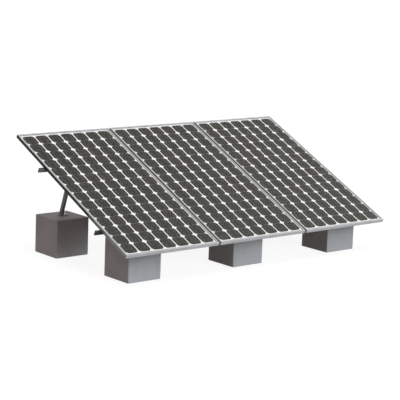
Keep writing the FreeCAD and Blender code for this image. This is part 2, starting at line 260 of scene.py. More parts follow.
# Colours as linear red, green and blue
COLOURS = {
    "cast concrete": (0.372, 0.358, 0.35),
    "pale concrete": (0.443, 0.429, 0.42),
    "dark sand": (0.27, 0.262, 0.255),
    "pin hole": (0.12, 0.11, 0.1),
    # Painted light and shade on the blocks: a paler foot, a darker upper band, and darker top faces
    # with some dust.
    "painted foot light": (0.62, 0.605, 0.61),
    "painted upper shade": (0.15, 0.147, 0.15),
    "painted top shade and dust": (0.22, 0.21, 0.205),
    "side bar": (0.555, 0.548, 0.536),
    "side bar line": (0.49, 0.483, 0.472),
    "end bar": (0.575, 0.565, 0.56),
    "end bar line": (0.51, 0.503, 0.498),
    "dull aluminium": (0.4, 0.4, 0.395),
    # Painted shade on the frame: faces that look up towards the left, and the outer faces of the side
    # bars, low and high up the slope.
    "painted lip shade": (0.22, 0.22, 0.215),
    "painted low side shade": (0.15, 0.145, 0.14),
    "painted high side shade": (0.02, 0.019, 0.018),
    "dark zinc": (0.14, 0.14, 0.143),
    "pale zinc": (0.196, 0.196, 0.2),
    "zinc bloom": (0.224, 0.224, 0.221),
    "zinc run": (0.11, 0.105, 0.1),
    # Painted shade on the steel: towards the front of the rack, and on faces that look up.
    "painted front shade": (0.03, 0.028, 0.027),
    "painted upward shade": (0.04, 0.039, 0.038),
    "dark weld": (0.16, 0.158, 0.155),
    "pale weld": (0.27, 0.265, 0.26),
    "bright plating": (0.5, 0.5, 0.51),
    "hazy plating": (0.36, 0.36, 0.36),
    "clear glass": (0.05, 0.07, 0.065),
    "smeared glass": (0.09, 0.11, 0.1),
    "black cell": (0.0155, 0.0125, 0.0055),
    "brown cell": (0.027, 0.0175, 0.0105),
    "cell mottle": (0.0195, 0.0175, 0.011),
    "glass dust": (0.07, 0.0675, 0.056),
    "silver finger": (0.065, 0.065, 0.064),
    "dull tin": (0.13, 0.13, 0.128),
    "bright tin": (0.2, 0.198, 0.192),
    "white film": (0.94, 0.94, 0.93),
    "whiter film": (0.98, 0.98, 0.97),
    "black seal": (0.014, 0.014, 0.014),
    "seal dust": (0.045, 0.043, 0.04),
    "black moulding": (0.018, 0.018, 0.019),
    "grey moulding": (0.035, 0.035, 0.036),
    "floor grey": (0.26, 0.235, 0.24),
    "floor white": (0.95, 0.95, 0.95),
    "warm fill": (1.0, 0.885, 0.885),
    "white": (1.0, 1.0, 1.0),
}

# Materials of the solids, by a part of their names; the rest are galvanised
SOLID_MATERIALS = {
    "_backsheet": "white_backsheet",
    "_edge_seal": "black_rubber",
    "_junction_box": "black_plastic",
    "_plug": "black_plastic",
    "_block": "concrete",
    "_cells": "silicon_cell",
    "_glass": "cover_glass",
    "_panel_frame_": "frame_side",
    "frame_corner_keys": "frame_side",
    "anchor_screws": "zinc_screw",
}


def panel_left(index):
    """The X of a panel's left side."""
    return index * (PANEL_WIDTH + PANEL_GAP) - ROW_WIDTH / 2


def block_column(name):
    """The X of the middle of a column of blocks."""
    low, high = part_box("front_" + name + "_block")
    return (low.x + high.x) / 2


# Shader helpers


def new_material(name):
    """A material with one Principled shader."""
    material = bpy.data.materials.new(name)
    material.use_nodes = True
    tree = material.node_tree
    return material, tree, tree.nodes["Principled BSDF"]


def fill_inputs(tree, node, values):
    """Links a node's inputs to sockets, or sets them to plain values."""
    for name, value in values.items():
        if isinstance(value, bpy.types.NodeSocket):
            tree.links.new(value, node.inputs[name])
        else:
            node.inputs[name].default_value = value


def add_node(tree, kind, values, **settings):
    """A new shader node with its settings and inputs."""
    node = tree.nodes.new("ShaderNode" + kind)
    for name, value in settings.items():
        setattr(node, name, value)
    fill_inputs(tree, node, values)
    return node


def place(tree, scale=(1.0, 1.0, 1.0), on_slope=False):
    """Object coordinates, turned into the row's own frame where asked, and stretched."""
    vector = add_node(tree, "TexCoord", {}).outputs["Object"]
    if on_slope:
        turn = {"Vector": vector, "Rotation": (-TILT, 0.0, 0.0)}
        vector = add_node(tree, "Mapping", turn).outputs["Vector"]
    return add_node(tree, "Mapping", {"Vector": vector, "Scale": scale}).outputs["Vector"]


def axis_of(tree, vector, axis):
    """One axis of a vector."""
    return add_node(tree, "SeparateXYZ", {"Vector": vector}).outputs[axis]


def noise_of(tree, vector, scale, detail=4.0, roughness=0.5):
    """A noise value from 0 to 1."""
    values = {"Vector": vector, "Scale": scale, "Detail": detail, "Roughness": roughness}
    return add_node(tree, "TexNoise", values).outputs["Fac"]


def crystals_of(tree, vector, scale, output):
    """One output of a pattern of crystals."""
    return add_node(tree, "TexVoronoi", {"Vector": vector, "Scale": scale}).outputs[output]


def spread(tree, value, low, high, out_low=0.0, out_high=1.0):
    """A value's range mapped to another range, and held inside it."""
    values = {
        "Value": value,
        "From Min": low,
        "From Max": high,
        "To Min": out_low,
        "To Max": out_high,
    }
    return add_node(tree, "MapRange", values).outputs["Result"]


def arithmetic(tree, operation, first, second=0.0):
    """A Math node on one or two values, each a socket or a number."""
    return add_node(tree, "Math", {0: first, 1: second}, operation=operation).outputs["Value"]


def rgba(name):
    """A named colour, fully opaque."""
    return (*COLOURS[name], 1.0)


def blend(tree, factor, first, second):
    """Two colours mixed by a factor, each a socket or the name of a colour."""
    first, second = (rgba(value) if isinstance(value, str) else value for value in (first, second))
    return add_node(tree, "Mix", {0: factor, 6: first, 7: second}, data_type="RGBA").outputs[2]


def bump(tree, height, strength, distance):
    """A normal from a height value."""
    values = {"Height": height, "Strength": strength, "Distance": distance}
    return add_node(tree, "Bump", values).outputs["Normal"]


def facing(tree, axis, low, high):
    """How far a surface faces along an axis, to either side, as a value from 0 to 1."""
    normal = add_node(tree, "NewGeometry", {}).outputs["Normal"]
    return spread(tree, arithmetic(tree, "ABSOLUTE", axis_of(tree, normal, axis)), low, high)


# Materials


def concrete():
    """Cast concrete: cloudy tone, sand grain and pin holes, with painted light and shade: a paler foot
    and a darker upper band on the front and back faces, and darker tops.
    """
    material, tree, shader = new_material("concrete")
    plain = place(tree)
    clouds = spread(tree, noise_of(tree, plain, 4.5, detail=5.0, roughness=0.6), 0.3, 0.7)
    tone = blend(tree, clouds, "cast concrete", "pale concrete")
    grain = spread(tree, noise_of(tree, plain, 420.0, detail=3.0, roughness=0.6), 0.35, 0.65, 0.0, 0.3)
    tone = blend(tree, grain, tone, "dark sand")
    hole = spread(tree, crystals_of(tree, plain, 95.0, "Distance"), 0.1, 0.2, 1.0, 0.0)
    rare = spread(tree, noise_of(tree, plain, 23.0, detail=2.0), 0.52, 0.6)
    hole = arithmetic(tree, "MULTIPLY", hole, rare)
    tone = blend(tree, arithmetic(tree, "MULTIPLY", hole, 0.7), tone, "pin hole")
    streaks = noise_of(tree, place(tree, (14.0, 14.0, 2.5)), 1.5)
    ragged = arithmetic(tree, "MULTIPLY", streaks, 0.05)
    level = arithmetic(tree, "SUBTRACT", axis_of(tree, plain, "Z"), ragged)
    # Painted light: the front and back faces get paler towards the foot, as if lit from the floor; the
    # band's edge is made ragged.
    broad_side = arithmetic(tree, "MAXIMUM", facing(tree, "Y", 0.5, 0.9), 0.3)
    foot_light = spread(tree, level, 0.005, 0.14, 0.52, 0.0)
    tone = blend(tree, arithmetic(tree, "MULTIPLY", foot_light, broad_side), tone, "painted foot light")
    # Painted shade: the upper part of the front and back faces is darkened, where the panels above
    # would shade it.
    upper_shade = spread(tree, level, 0.14, 0.245, 0.0, 0.33)
    tone = blend(tree, arithmetic(tree, "MULTIPLY", upper_shade, broad_side), tone, "painted upper shade")
    # Painted shade, with some dust: faces that look up are darkened.
    top_face_shade = arithmetic(tree, "MULTIPLY", facing(tree, "Z", 0.5, 0.9), 0.45)
    tone = blend(tree, top_face_shade, tone, "painted top shade and dust")
    fine = arithmetic(tree, "MULTIPLY", noise_of(tree, plain, 260.0, roughness=0.6), 0.35)
    height = arithmetic(tree, "ADD", fine, noise_of(tree, plain, 28.0, roughness=0.55))
    height = arithmetic(tree, "SUBTRACT", height, hole)
    fill_inputs(tree, shader, {
        "Base Color": tone,
        "Roughness": spread(tree, clouds, 0.0, 1.0, 0.95, 0.8),
        "IOR": 1.35,
        "Normal": bump(tree, height, 0.35, 1.2 * MM),
    })
    return material


def anodised(name, along_row, pale, deep):
    """Satin anodised aluminium with fine die lines; painted shade on the faces that look up, stronger
    towards the left, and on the outer faces of the side bars.
    """
    material, tree, shader = new_material(name)
    stretch = (1.5, 260.0, 260.0) if along_row else (260.0, 1.5, 260.0)
    lines = noise_of(tree, place(tree, stretch, on_slope=True), 3.0, detail=3.0, roughness=0.6)
    cloud = noise_of(tree, place(tree), 9.0, roughness=0.6)
    tone = blend(tree, spread(tree, lines, 0.3, 0.7), deep, pale)
    tone = blend(tree, spread(tree, cloud, 0.42, 0.72, 0.0, 0.45), tone, "dull aluminium")
    # Painted shade: faces that look up are darkened, more towards the left end of the row.
    left_lip_shade = spread(tree, axis_of(tree, place(tree), "X"), -1.6, 1.6, 0.3, 0.0)
    left_lip_shade = arithmetic(tree, "MULTIPLY", left_lip_shade, facing(tree, "Z", 0.5, 0.8))
    tone = blend(tree, left_lip_shade, tone, "painted lip shade")
    metallic = 0.15
    if not along_row:
        # Painted shade and a painted dark reflection: the outer faces of the side bars turn to a dark
        # metal, darker up the slope.
        outside = facing(tree, "X", 0.6, 0.85)
        climb = spread(tree, axis_of(tree, place(tree, on_slope=True), "Y"), -0.25, 0.0)
        side_shade = blend(tree, climb, "painted low side shade", "painted high side shade")
        tone = blend(tree, outside, tone, side_shade)
        metallic = spread(tree, outside, 0.0, 1.0, metallic, 1.0)
    fill_inputs(tree, shader, {
        "Base Color": tone,
        "Metallic": metallic,
        "Roughness": spread(tree, cloud, 0.3, 0.7, 0.42, 0.58),
        "Normal": bump(tree, lines, 0.12, 0.15 * MM),
    })
    return material


def galvanised_steel():
    """Dull hot-dip zinc with crystal spangle, grey bloom and a few dark runs; painted shade towards
    the front and on the faces that look up.
    """
    material, tree, shader = new_material("galvanised_steel")
    plain = place(tree)
    spangle = add_node(tree, "SeparateColor", {"Color": crystals_of(tree, plain, 95.0, "Color")})
    tone = blend(tree, spangle.outputs["Red"], "dark zinc", "pale zinc")
    bloom = spread(tree, noise_of(tree, plain, 17.0, detail=5.0, roughness=0.65), 0.45, 0.75, 0.0, 0.6)
    tone = blend(tree, bloom, tone, "zinc bloom")
    runs = noise_of(tree, place(tree, (30.0, 30.0, 4.0)), 1.2)
    tone = blend(tree, spread(tree, runs, 0.5, 0.8, 0.0, 0.5), tone, "zinc run")
    # Painted shade: the steel darkens towards the front of the rack.
    front_shade = spread(tree, axis_of(tree, plain, "Y"), -0.2, 0.2, 0.85, 0.0)
    tone = blend(tree, front_shade, tone, "painted front shade")
    # Painted shade: faces that look up are darkened.
    upward_face_shade = arithmetic(tree, "MULTIPLY", facing(tree, "Z", 0.5, 0.8), 0.8)
    tone = blend(tree, upward_face_shade, tone, "painted upward shade")
    height = arithmetic(tree, "ADD", noise_of(tree, plain, 150.0, detail=3.0), spangle.outputs["Blue"])
    fill_inputs(tree, shader, {
        "Base Color": tone,
        "Metallic": 0.1,
        "IOR": 1.3,
        "Roughness": spread(tree, spangle.outputs["Green"], 0.0, 1.0, 0.42, 0.62),
        "Normal": bump(tree, height, 0.1, 0.2 * MM),
    })
    return material


def weld_metal():
    """Zinc-painted weld bead, uneven in tone."""
    material, tree, shader = new_material("weld_metal")
    plain = place(tree)
    burnt = spread(tree, noise_of(tree, plain, 160.0), 0.35, 0.7)
    fill_inputs(tree, shader, {
        "Base Color": blend(tree, burnt, "dark weld", "pale weld"),
        "Metallic": 0.4,
        "Roughness": spread(tree, burnt, 0.0, 1.0, 0.6, 0.42),
        "Normal": bump(tree, noise_of(tree, plain, 600.0, detail=3.0), 0.3, 0.3 * MM),
    })
    return material


def zinc_screw():
    """Bright zinc-plated steel with a slight haze."""
    material, tree, shader = new_material("zinc_screw")
    haze = noise_of(tree, place(tree), 240.0, roughness=0.6)
    fill_inputs(tree, shader, {
        "Base Color": blend(tree, spread(tree, haze, 0.35, 0.7), "bright plating", "hazy plating"),
        "Metallic": 0.8,
        "Roughness": spread(tree, haze, 0.3, 0.7, 0.28, 0.5),
        "Normal": bump(tree, haze, 0.08, 0.1 * MM),
    })
    return material


def cover_glass():
    """Clear low-iron glass with a faint rolled texture."""
    material, tree, shader = new_material("cover_glass")
    rolled = noise_of(tree, place(tree, on_slope=True), 420.0, detail=2.0)
    smear = noise_of(tree, place(tree, (2.0, 0.6, 1.0), on_slope=True), 3.0)
    fill_inputs(tree, shader, {
        "Base Color": blend(tree, spread(tree, smear, 0.3, 0.7), "clear glass", "smeared glass"),
        "Roughness": spread(tree, smear, 0.3, 0.7, 0.05, 0.14),
        "IOR": 1.45,
        "Alpha": 0.026,
        "Normal": bump(tree, rolled, 0.05, 0.05 * MM),
    })
    return material


def silicon_cell():
    """Dark textured silicon with fine silver fingers, under a film of dust."""
    material, tree, shader = new_material("silicon_cell")
    row_frame = place(tree, on_slope=True)
    along = axis_of(tree, row_frame, "X")
    up_slope = axis_of(tree, row_frame, "Y")
    cell_tone = add_node(tree, "Attribute", {}, attribute_name="cell_tone").outputs["Fac"]
    tone = blend(tree, cell_tone, "black cell", "brown cell")
    cloud = noise_of(tree, row_frame, 9.0, detail=3.0, roughness=0.6)
    mottle = arithmetic(tree, "MULTIPLY", spread(tree, cloud, 0.35, 0.65), 0.25)
    tone = blend(tree, mottle, tone, "cell mottle")
    dust = arithmetic(tree, "SUBTRACT", arithmetic(tree, "MULTIPLY", along, 0.3), up_slope)
    tone = blend(tree, spread(tree, dust, -1.9, 0.9, 0.0, 0.5), tone, "glass dust")
    phase = arithmetic(tree, "FRACT", arithmetic(tree, "DIVIDE", up_slope, FINGER_PITCH))
    away = arithmetic(tree, "ABSOLUTE", arithmetic(tree, "SUBTRACT", phase, 0.5))
    tone = blend(tree, spread(tree, away, 0.02, 0.035, 0.3, 0.0), tone, "silver finger")
    fill_inputs(tree, shader, {
        "Base Color": tone,
        "Roughness": spread(tree, cloud, 0.3, 0.7, 0.2, 0.3),
        "IOR": 1.22,
        "Normal": bump(tree, noise_of(tree, row_frame, 900.0, detail=2.0), 0.03, 0.05 * MM),
    })
    return material


def solder_ribbon():
    """Dull tinned copper."""
    material, tree, shader = new_material("solder_ribbon")
    haze = noise_of(tree, place(tree, (1.0, 0.1, 1.0), on_slope=True), 300.0, detail=3.0)
    fill_inputs(tree, shader, {
        "Base Color": blend(tree, spread(tree, haze, 0.3, 0.7), "dull tin", "bright tin"),
        "Metallic": 0.2,
        "Roughness": spread(tree, haze, 0.3, 0.7, 0.35, 0.5),
        "IOR": 1.3,
    })
    return material


def white_backsheet():
    """White polymer film, faintly rippled and a little uneven in tone."""
    material, tree, shader = new_material("white_backsheet")
    row_frame = place(tree, on_slope=True)
    ripple = noise_of(tree, row_frame, 7.0, detail=3.0)
    fill_inputs(tree, shader, {
        "Base Color": blend(tree, spread(tree, ripple, 0.3, 0.7), "white film", "whiter film"),
        "Roughness": spread(tree, ripple, 0.3, 0.7, 0.35, 0.5),
        "IOR": 1.3,
        "Normal": bump(tree, noise_of(tree, row_frame, 60.0, detail=3.0), 0.06, 0.2 * MM),
    })
    return material


def black_rubber():
    """Matt black seal rubber, greyed a little by dust."""
    material, tree, shader = new_material("black_rubber")
    dust = noise_of(tree, place(tree), 130.0, roughness=0.6)
    fill_inputs(tree, shader, {
        "Base Color": blend(tree, spread(tree, dust, 0.4, 0.7), "black seal", "seal dust"),
        "Roughness": spread(tree, dust, 0.3, 0.7, 0.6, 0.8),
        "Normal": bump(tree, dust, 0.1, 0.1 * MM),
    })
    return material


def black_plastic():
    """Moulded black plastic with a fine eroded grain."""
    material, tree, shader = new_material("black_plastic")
    plain = place(tree)
    cloud = noise_of(tree, plain, 18.0, detail=3.0)
    grain = noise_of(tree, plain, 900.0, detail=3.0, roughness=0.6)
    fill_inputs(tree, shader, {
        "Base Color": blend(tree, spread(tree, cloud, 0.35, 0.7), "black moulding", "grey moulding"),
        "Roughness": spread(tree, cloud, 0.3, 0.7, 0.42, 0.58),
        "Normal": bump(tree, grain, 0.25, 0.1 * MM),
    })
    return material


MATERIALS = {
    "concrete": concrete(),
    "frame_side": anodised("anodised_frame_side", False, "side bar", "side bar line"),
    "frame_end": anodised("anodised_frame_end", True, "end bar", "end bar line"),
    "galvanised_steel": galvanised_steel(),
    "weld_metal": weld_metal(),
    "zinc_screw": zinc_screw(),
    "cover_glass": cover_glass(),
    "silicon_cell": silicon_cell(),
    "solder_ribbon": solder_ribbon(),
    "white_backsheet": white_backsheet(),
    "black_rubber": black_rubber(),
    "black_plastic": black_plastic(),
}


# Mesh helpers


def add_object(name, data):
    """A new object in the scene."""
    made = bpy.data.objects.new(name, data)
    bpy.context.scene.collection.objects.link(made)
    return made


def finish_piece(name, builder, material, stands_for=(), smooth_angle=None):
    """Makes a mesh object from a bmesh, gives it its material and lets it ride on the rack."""
    mesh = bpy.data.meshes.new(name)
    bmesh.ops.recalc_face_normals(builder, faces=builder.faces)
    builder.to_mesh(mesh)
    builder.free()
    piece = add_object(name, mesh)
    mesh.materials.append(MATERIALS[material])
    if smooth_angle is not None:
        mesh.shade_smooth()
        mesh.set_sharp_from_angle(angle=math.radians(smooth_angle))
    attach(piece, "root")
    if stands_for:
        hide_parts(*stands_for)


def loft(builder, rings, matrix):
    """Skins rings of equally many points, and caps the first and the last one."""
    made = [[builder.verts.new(matrix @ Vector(point)) for point in ring] for ring in rings]
    count = len(made[0])
    for lower, upper in zip(made, made[1:]):
        for index in range(count):
            following = (index + 1) % count
            builder.faces.new((lower[index], lower[following], upper[following], upper[index]))
    builder.faces.new(list(reversed(made[0])))
    builder.faces.new(made[-1])


def slab(builder, low, high):
    """A plain box between two corners in the row's frame."""
    ring = [(low[0], low[1]), (high[0], low[1]), (high[0], high[1]), (low[0], high[1])]
    loft(builder, [[(x, y, z) for x, y in ring] for z in (low[2], high[2])], SLOPE)


def soft_corners(corners, radius):
    """A closed outline with each corner cut back by a radius and rounded."""
    points = []
    count = len(corners)
    for index, corner in enumerate(corners):
        here = Vector(corner)
        before = (Vector(corners[index - 1]) - here).normalized() * radius
        after = (Vector(corners[(index + 1) % count]) - here).normalized() * radius
        for step in range(CORNER_STEPS + 1):
            angle = math.radians(90.0 * step / CORNER_STEPS)
            points.append(here + before * (1 - math.sin(angle)) + after * (1 - math.cos(angle)))
    return points


def finish_moulding(node, builder):
    """The black moulded piece that stands for one node."""
    finish_piece(node + "_moulding", builder, "black_plastic", [node], smooth_angle=35)


# Panels


def bar_section():
    """The frame bar's section as (distance from the outside, height) points, corners softened."""
    corners = [
        (0.0, 0.0),
        (LIP_WIDTH, 0.0),
        (LIP_WIDTH, -LIP_THICKNESS),
        (FRAME_WALL, -LIP_THICKNESS),
        (FRAME_WALL, -GROOVE_FLOOR),
        (SEAT_WIDTH, -GROOVE_FLOOR),
        (SEAT_WIDTH, -CHAMBER_BOTTOM),
        (FRAME_WALL, -CHAMBER_BOTTOM),
        (FRAME_WALL, -FRAME_HEIGHT + FLANGE_THICKNESS),
        (FLANGE_WIDTH, -FRAME_HEIGHT + FLANGE_THICKNESS),
        (FLANGE_WIDTH, -FRAME_HEIGHT),
        (0.0, -FRAME_HEIGHT),
    ]
    return soft_corners(corners, FRAME_EDGE_RADIUS)


def frame_bar(panel, side, left):
    """One mitred frame bar with softened edges."""
    upright = side in ("left", "right")
    length, breadth = (PANEL_LENGTH, PANEL_WIDTH) if upright else (PANEL_WIDTH, PANEL_LENGTH)
    rings = []
    for at_start in (True, False):
        ring = []
        for inward, height in bar_section():
            mitre = inward + MITRE_LINE
            run = mitre if at_start else length - mitre
            across = inward if side in ("left", "bottom") else breadth - inward
            x, y = (across, run) if upright else (run, across)
            ring.append((left + x, y, height))
        rings.append(ring)
    builder = bmesh.new()
    loft(builder, rings, SLOPE)
    name = panel + "_panel_frame_" + side
    material = "frame_side" if upright else "frame_end"
    finish_piece(name + "_bar", builder, material, [name], smooth_angle=40)


def glass_pane(panel, left):
    """The cover glass, just clear of the cells below it."""
    builder = bmesh.new()
    low = (left + GLASS_INSET, GLASS_INSET, -GLASS_BOTTOM)
    high = (left + PANEL_WIDTH - GLASS_INSET, PANEL_LENGTH - GLASS_INSET, -GLASS_TOP)
    slab(builder, low, high)
    name = panel + "_panel_glass"
    finish_piece(name + "_pane", builder, "cover_glass", [name])


def wafer_outline():
    """A square wafer whose corners are arcs of the round ingot it was cut from."""
    start = math.acos(CELL_SIZE / 2 / WAFER_RADIUS)
    end = math.pi / 2 - start
    points = []
    for quarter in range(4):
        for step in range(WAFER_CORNER_STEPS + 1):
            angle = start + (end - start) * step / WAFER_CORNER_STEPS + quarter * math.pi / 2
            points.append((WAFER_RADIUS * math.cos(angle), WAFER_RADIUS * math.sin(angle)))
    return points


def column_middle(left, column):
    """The X of the middle of a column of cells."""
    return left + PANEL_WIDTH / 2 + (column - (CELL_COLUMNS - 1) / 2) * COLUMN_PITCH


def row_middle(row):
    """The distance up the slope to the middle of a row of cells."""
    return PANEL_LENGTH / 2 + (row - (CELL_ROWS - 1) / 2) * ROW_PITCH


def cells(panel, left, shades):
    """All cells of a panel, each with a tone of its own."""
    builder = bmesh.new()
    tone = builder.faces.layers.float.new("cell_tone")
    outline = wafer_outline()
    for column in range(CELL_COLUMNS):
        x = column_middle(left, column)
        for row in range(CELL_ROWS):
            y = row_middle(row)
            before = len(builder.faces)
            rings = [[(x + u, y + v, z) for u, v in outline] for z in (-CELL_BOTTOM, -CELL_TOP)]
            loft(builder, rings, SLOPE)
            builder.faces.ensure_lookup_table()
            value = shades.random() ** 2
            for index in range(before, len(builder.faces)):
                builder.faces[index][tone] = value
    name = panel + "_panel_cells"
    finish_piece(name + "_wafers", builder, "silicon_cell", [name])


def ribbons(panel, left):
    """Two flat solder ribbons along each column of cells."""
    builder = bmesh.new()
    reach = (CELL_ROWS - 1) / 2 * ROW_PITCH + CELL_SIZE / 2
    for column in range(CELL_COLUMNS):
        for side in (-1, 1):
            x = column_middle(left, column) + side * RIBBON_OFFSET
            low = (x - RIBBON_WIDTH / 2, PANEL_LENGTH / 2 - reach, -CELL_TOP)
            high = (x + RIBBON_WIDTH / 2, PANEL_LENGTH / 2 + reach, -CELL_TOP + RIBBON_THICKNESS)
            slab(builder, low, high)
    finish_piece(panel + "_panel_ribbons", builder, "solder_ribbon")


# Concrete blocks


def grid_lines(half):
    """Positions across a block's side, close together near its edges."""
    low = [-half + step for step in NEAR_EDGE_LINES]
    inner = half - NEAR_EDGE_LINES[-1]
    middle = [-inner + 2 * inner * index / FACE_LINES for index in range(1, FACE_LINES)]
    return low + middle + [-value for value in reversed(low)]


def soften(point, half):
    """A point of the block's hull, moved in for the chamfers; the ground edge keeps its height."""
    core = Vector([max(-half + BLOCK_CHAMFER, min(half - BLOCK_CHAMFER, value)) for value in point])
    if point.z < 0:
        core.z = point.z
    out = point - core
    on_edge = sum(1 for value in out if abs(value) > EDGE_TOLERANCE) > 1
    if not on_edge:
        return point
    size = sum(abs(value) ** EDGE_ROUNDNESS for value in out) ** (1 / EDGE_ROUNDNESS)
    return core + out * (BLOCK_CHAMFER / size)


def wear_depth(spot, seed):
    """How deep a block's edge is worn at a spot: rare large chips and many small crumbs."""
    chip = noise.noise(spot * CHIPS_PER_METRE + Vector((seed, 0, 0))) - CHIP_RARITY
    crumb = noise.noise(spot * CRUMBS_PER_METRE + Vector((0, seed, 0)))
    return (max(0.0, chip) * CHIP_STRENGTH + max(0.0, crumb) * CRUMB_STRENGTH) * WEAR_DEPTH


def block_mesh(builder, middle, half, seed):
    """A cast block with chamfered, worn edges, as a grid over its six faces."""
    lines = grid_lines(half)
    made = {}

    def vertex(spot):
        key = tuple(round(value * POINT_KEYS_PER_METRE) for value in spot)
        if key not in made:
            flat = Vector(spot)
            moved = soften(flat, half)
            if (flat - moved).length > 0:
                moved = moved + (-moved).normalized() * wear_depth(flat, seed)
            made[key] = builder.verts.new(moved + middle)
        return made[key]

    count = len(lines) - 1
    for axis in range(3):
        for end in (-half, half):
            for first in range(count):
                for second in range(count):
                    corners = []
                    for a, b in ((0, 0), (1, 0), (1, 1), (0, 1)):
                        spot = [lines[first + a], lines[second + b]]
                        spot.insert(axis, end)
                        corners.append(vertex(spot))
                    if end < 0:
                        corners.reverse()
                    builder.faces.new(corners)


def concrete_block(node, seed):
    """The worn cast block that stands for one plain block."""
    low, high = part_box(node)
    builder = bmesh.new()
    block_mesh(builder, (low + high) / 2, (high.x - low.x) / 2, seed)
    finish_piece(node + "_cast", builder, "concrete", [node], smooth_angle=35)


# Screws, bolts and nuts


def hex_radius(flats, angle):
    """How far a hexagon's side is from its middle, at an angle."""
    turn = math.radians(60)
    return flats / 2 / math.cos((angle % turn) - turn / 2)


def ring_of(radius_at, height_at, steps=ROUND_STEPS):
    """A ring of points, with radius and height as functions of the angle."""
    angles = [2 * math.pi * index / steps for index in range(steps)]
    return [(radius_at(a) * math.cos(a), radius_at(a) * math.sin(a), height_at(a)) for a in angles]


def round_ring(radius, height, steps=ROUND_STEPS):
    """A level circle."""
    return ring_of(lambda a: radius, lambda a: height, steps)


def hex_ring(flats, height):
    """A level hexagon."""
    return ring_of(lambda a: hex_radius(flats, a), lambda a: height)


def hex_top_rings(flats, height):
    """The upper rings of a hexagon whose corners are turned down to a cone."""
    crown = flats / 2 * CROWN_SHARE

    def turned_down(angle):
        return height - (hex_radius(flats, angle) - crown) * math.tan(CROWN_ANGLE)

    return [ring_of(lambda a: hex_radius(flats, a), turned_down), round_ring(crown, height)]


def hex_head(builder, flats, height, matrix):
    """A hexagon head on its washer face, seated at z = 0."""
    rings = [
        round_ring(flats / 2 * WASHER_FOOT_SHARE, 0.0),
        round_ring(flats / 2 * WASHER_FACE_SHARE, WASHER_FACE),
        hex_ring(flats * HEX_FOOT_SHARE, HEX_FOOT),
    ]
    loft(builder, rings + hex_top_rings(flats, height), matrix)


def flange_nut(builder, flats, height, matrix):
    """A hexagon nut with a round flange, seated at z = 0."""
    flange = flats * NUT_FLANGE_SHARE
    rings = [
        round_ring(flange * NUT_FLANGE_ROUND, 0.0),
        round_ring(flange, NUT_FLANGE_RIM),
        round_ring(flange * NUT_FLANGE_ROUND, NUT_FLANGE_SHOULDER),
        hex_ring(flats, NUT_FLANGE_TOP),
    ]
    loft(builder, rings + hex_top_rings(flats, height), matrix)


def threaded_end(builder, size, pitch, start, end, matrix):
    """A length of screw thread from start to end along z, with a turned-down tip."""
    depth = THREAD_DEPTH_SHARE * pitch
    count = max(2, int((end - start) / pitch * THREAD_RINGS_PER_TURN))
    rings = []
    for index in range(count + 1):
        z = start + (end - start) * index / count
        tip_radius = size / 2 - depth * max(0.0, 1.0 - (end - z) / pitch)
        ring = []
        for step in range(SHANK_STEPS):
            share = step / SHANK_STEPS
            angle = 2 * math.pi * share
            phase = (z / pitch - share) % 1.0
            radius = min(size / 2 - depth * abs(2 * phase - 1), tip_radius)
            ring.append((radius * math.cos(angle), radius * math.sin(angle), z))
        rings.append(ring)
    loft(builder, rings, matrix)


def shank(builder, radius, start, end, matrix):
    """The plain, hidden length of a bolt."""
    loft(builder, [round_ring(radius, z, SHANK_STEPS) for z in (start, end)], matrix)


def aimed(point, direction):
    """The matrix that puts +Z along a direction of the row's frame at a point of it."""
    turn = SLOPE.to_3x3() @ Vector(direction)
    spot = SLOPE @ Vector(point)
    return Matrix.Translation(spot) @ turn.to_track_quat("Z", "Y").to_matrix().to_4x4()


def spun(matrix, degrees):
    """The same matrix, turned about its own Z."""
    return matrix @ Matrix.Rotation(math.radians(degrees), 4, "Z")


def bolted(heads, nuts, bolt, point, direction, grip, turns):
    """One bolt with its head at a point, pointing along a direction, and the nut beyond the grip."""
    back = aimed(point, [-value for value in direction])
    front = aimed(point, direction)
    hex_head(heads, bolt.flats, bolt.head, spun(back, turns.uniform(0, 60)))
    shank(heads, bolt.thread / 2 * SHANK_SHARE, -SHANK_IN_HEAD, grip + SHANK_PAST_GRIP, front)
    threaded_end(heads, bolt.thread, bolt.pitch, grip + THREAD_PAST_GRIP, bolt.length, front)
    seat = Vector(point) + Vector(direction) * grip
    flange_nut(nuts, bolt.flats, bolt.nut, spun(aimed(seat, direction), turns.uniform(0, 60)))


def finish_screws(name, builder, stands_for=()):
    """One piece with a set of screws, bolts or nuts."""
    finish_piece(name, builder, "zinc_screw", stands_for, smooth_angle=30)


def panel_fasteners(turns):
    """The bolts that hold the panels' bottom flanges on the rails."""
    heads = bmesh.new()
    nuts = bmesh.new()
    level = -FRAME_HEIGHT + FLANGE_THICKNESS
    grip = FLANGE_THICKNESS + RAIL_SHEET
    for index in range(len(PANEL_NAMES)):
        left = panel_left(index)
        for x in (left + PANEL_BOLT_INSET, left + PANEL_WIDTH - PANEL_BOLT_INSET):
            for rail in (FRONT_RAIL, REAR_RAIL):
                point = (x, rail + RAIL_BOLT_LINE, level)
                bolted(heads, nuts, PANEL_BOLT, point, (0, 0, -1), grip, turns)
    finish_screws("panel_bolts", heads)
    finish_screws("panel_nuts", nuts)


